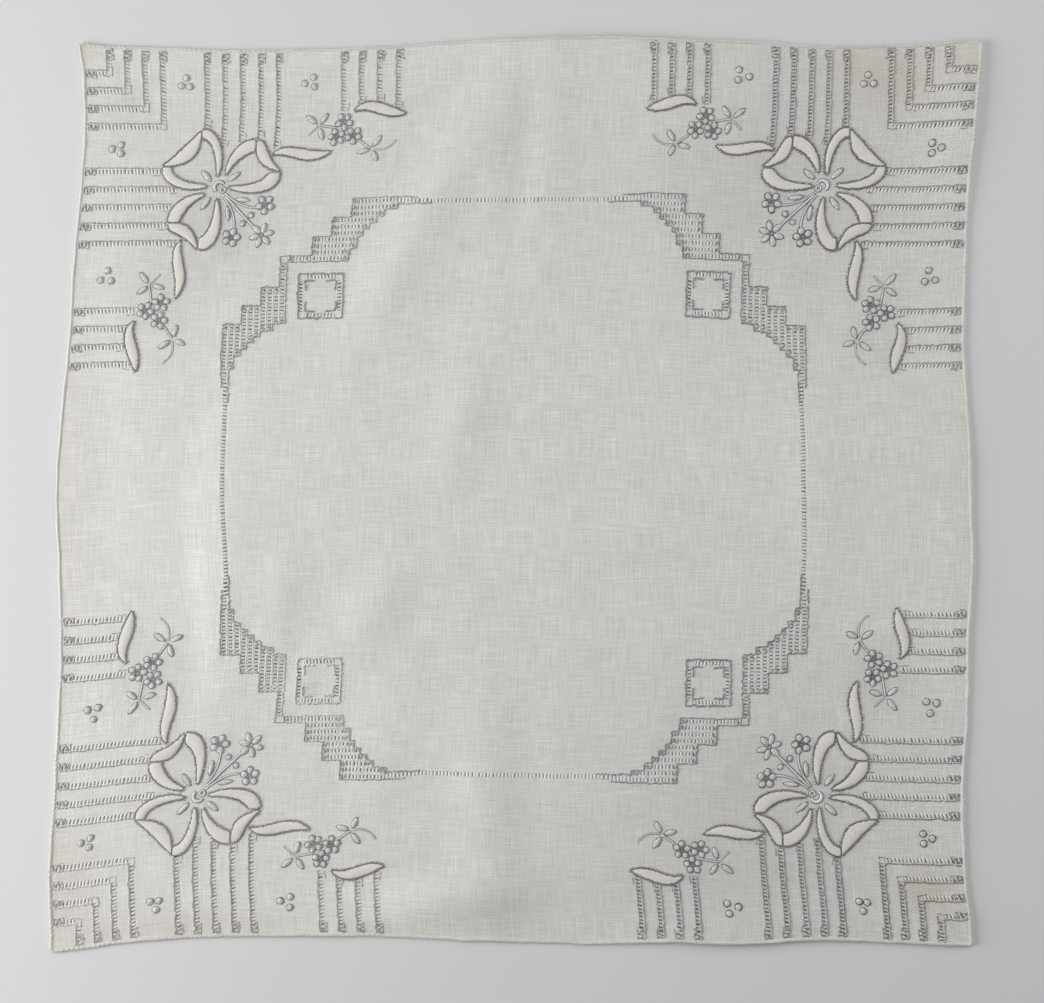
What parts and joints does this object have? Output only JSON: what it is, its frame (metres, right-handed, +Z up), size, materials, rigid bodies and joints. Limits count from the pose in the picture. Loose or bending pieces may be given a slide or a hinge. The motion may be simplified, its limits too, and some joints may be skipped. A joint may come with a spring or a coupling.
{
  "type": "handkerchief",
  "caption": "Square linen handkerchief lying slack on a table, with a narrow rolled hem and sewn-on petals and leaves at the corners.",
  "frame": {"origin": "on the table under the middle of the cloth's outline", "axes": "+X to the right edge as pictured, +Y to the far edge, +Z up from the table"},
  "size_m": [0.3132, 0.3067, 0.0032],
  "materials": {
    "linen": "matte",
    "cream_linen": "matte"
  },
  "bodies": {
    "root": {"linen_ground": "linen", "nw_crown_tip": "cream_linen", "nw_crown_side_a": "cream_linen", "nw_crown_side_b": "cream_linen", "nw_wing_inner_a": "cream_linen", "nw_wing_inner_b": "cream_linen", "nw_wing_tip_a": "cream_linen", "nw_wing_tip_b": "cream_linen", "nw_wing_outer_a": "cream_linen", "nw_wing_outer_b": "cream_linen", "nw_near_leaf_a": "cream_linen", "nw_near_leaf_b": "cream_linen", "nw_far_leaf_a": "cream_linen", "nw_far_leaf_b": "cream_linen", "ne_crown_tip": "cream_linen", "ne_crown_side_a": "cream_linen", "ne_crown_side_b": "cream_linen", "ne_wing_inner_a": "cream_linen", "ne_wing_inner_b": "cream_linen", "ne_wing_tip_a": "cream_linen", "ne_wing_tip_b": "cream_linen", "ne_wing_outer_a": "cream_linen", "ne_wing_outer_b": "cream_linen", "ne_near_leaf_a": "cream_linen", "ne_near_leaf_b": "cream_linen", "ne_far_leaf_a": "cream_linen", "ne_far_leaf_b": "cream_linen", "se_crown_tip": "cream_linen", "se_crown_side_a": "cream_linen", "se_crown_side_b": "cream_linen", "se_wing_inner_a": "cream_linen", "se_wing_inner_b": "cream_linen", "se_wing_tip_a": "cream_linen", "se_wing_tip_b": "cream_linen", "se_wing_outer_a": "cream_linen", "se_wing_outer_b": "cream_linen", "se_near_leaf_a": "cream_linen", "se_near_leaf_b": "cream_linen", "se_far_leaf_a": "cream_linen", "se_far_leaf_b": "cream_linen", "sw_crown_tip": "cream_linen", "sw_crown_side_a": "cream_linen", "sw_crown_side_b": "cream_linen", "sw_wing_inner_a": "cream_linen", "sw_wing_inner_b": "cream_linen", "sw_wing_tip_a": "cream_linen", "sw_wing_tip_b": "cream_linen", "sw_wing_outer_a": "cream_linen", "sw_wing_outer_b": "cream_linen", "sw_near_leaf_a": "cream_linen", "sw_near_leaf_b": "cream_linen", "sw_far_leaf_a": "cream_linen", "sw_far_leaf_b": "cream_linen"}
  },
  "joints": []
}
